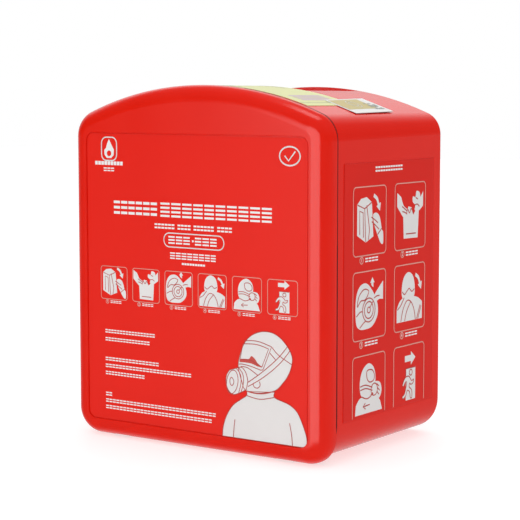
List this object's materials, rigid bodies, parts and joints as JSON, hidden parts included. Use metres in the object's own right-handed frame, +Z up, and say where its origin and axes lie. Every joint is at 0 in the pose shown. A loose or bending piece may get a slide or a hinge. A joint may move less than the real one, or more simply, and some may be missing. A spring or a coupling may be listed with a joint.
{
  "type": "smoke hood",
  "caption": "Wall box with a domed top and a drop-down front cover, holding a filter escape hood sealed in a foil bag.",
  "frame": {"origin": "on the floor under the middle of the box", "axes": "+Z up, the front cover faces -Y, +X to the right seen from the front"},
  "size_m": [0.16, 0.112, 0.1837],
  "materials": {
    "red_shell": "glossy moulded plastic",
    "pin_steel": "ground pin",
    "front_film": "laminated printed film",
    "side_film": "laminated printed film",
    "seal_film": "thin printed film",
    "ticket_film": "thin printed film",
    "leaflet_paper": "uncoated paper",
    "foil": "crinkled laminated foil",
    "can_metal": "satin grey",
    "can_cap": "satin grey",
    "plate_steel": "perforated sheet",
    "felt": "needled felt",
    "filter_paper": "pleated filter paper",
    "carbon": "packed granules",
    "catalyst": "packed granules",
    "plug_rubber": "moulded rubber",
    "ring_plastic": "moulded plastic",
    "gasket_rubber": "moulded rubber",
    "valve_plastic": "moulded plastic",
    "flap_silicone": "thin silicone",
    "cup_rubber": "soft moulded rubber",
    "frame_plastic": "moulded plastic",
    "lens": "clear film",
    "hood_cloth": "coated heat-resistant cloth",
    "collar_elastic": "thin elastic sheet",
    "strap_elastic": "woven elastic",
    "buckle_plastic": "moulded plastic"
  },
  "bodies": {
    "case": {"rear_case": "red_shell", "rim_gasket": "gasket_rubber", "side_label_left": "side_film", "side_label_right": "side_film", "seal_label": "seal_film", "ticket_label": "ticket_film", "instruction_leaflet": "leaflet_paper", "foil_bag": "foil", "canister_body": "can_metal", "canister_cap": "can_cap", "perforated_plate_front": "plate_steel", "perforated_plate_rear": "plate_steel", "felt_pad_front": "felt", "felt_pad_middle": "felt", "felt_pad_rear": "felt", "particulate_filter": "filter_paper", "carbon_bed": "carbon", "catalyst_bed": "catalyst", "connector_ring": "ring_plastic", "neck_gasket": "gasket_rubber", "inhale_spider": "valve_plastic", "nose_cup": "cup_rubber", "exhale_seat_left": "valve_plastic", "exhale_seat_right": "valve_plastic", "exhale_cage_left": "valve_plastic", "exhale_cage_right": "valve_plastic", "visor_frame": "frame_plastic", "visor_lens": "lens", "hood_fabric": "hood_cloth", "neck_collar": "collar_elastic", "head_straps": "strap_elastic", "strap_buckle_left": "buckle_plastic", "strap_buckle_right": "buckle_plastic"},
    "cover": {"front_cover": "red_shell", "front_label": "front_film", "hinge_pin_left": "pin_steel", "hinge_pin_right": "pin_steel"},
    "outer_plug_body": {"outer_plug": "plug_rubber"},
    "inner_plug_body": {"inner_plug": "plug_rubber"},
    "inhale_flap_body": {"inhale_flap": "flap_silicone"},
    "exhale_flap_left_body": {"exhale_flap_left": "flap_silicone"},
    "exhale_flap_right_body": {"exhale_flap_right": "flap_silicone"}
  },
  "joints": [
    {"name": "cover_hinge", "type": "hinge", "parent": "case", "child": "cover", "pos_m": [0, -0.047, 0.0032], "axis": [1, 0, 0], "range_deg": [0, 80]},
    {"name": "outer_plug_pull", "type": "slide", "parent": "case", "child": "outer_plug_body", "axis": [0, -1, 0], "range_m": [0, 0.008]},
    {"name": "inner_plug_pull", "type": "slide", "parent": "case", "child": "inner_plug_body", "axis": [0, 1, 0], "range_m": [0, 0.012]},
    {"name": "inhale_flap_lift", "type": "slide", "parent": "case", "child": "inhale_flap_body", "axis": [0, 1, 0], "range_m": [0, 0.0015], "stiffness_N_per_m": 20},
    {"name": "exhale_flap_left_swing", "type": "hinge", "parent": "case", "child": "exhale_flap_left_body", "pos_m": [-0.0441, 0.031, 0.058], "axis": [0, 1, 0], "range_deg": [0, 20], "stiffness_Nm_per_rad": 0.0002},
    {"name": "exhale_flap_right_swing", "type": "hinge", "parent": "case", "child": "exhale_flap_right_body", "pos_m": [0.0441, 0.031, 0.058], "axis": [0, -1, 0], "range_deg": [0, 20], "stiffness_Nm_per_rad": 0.0002}
  ]
}
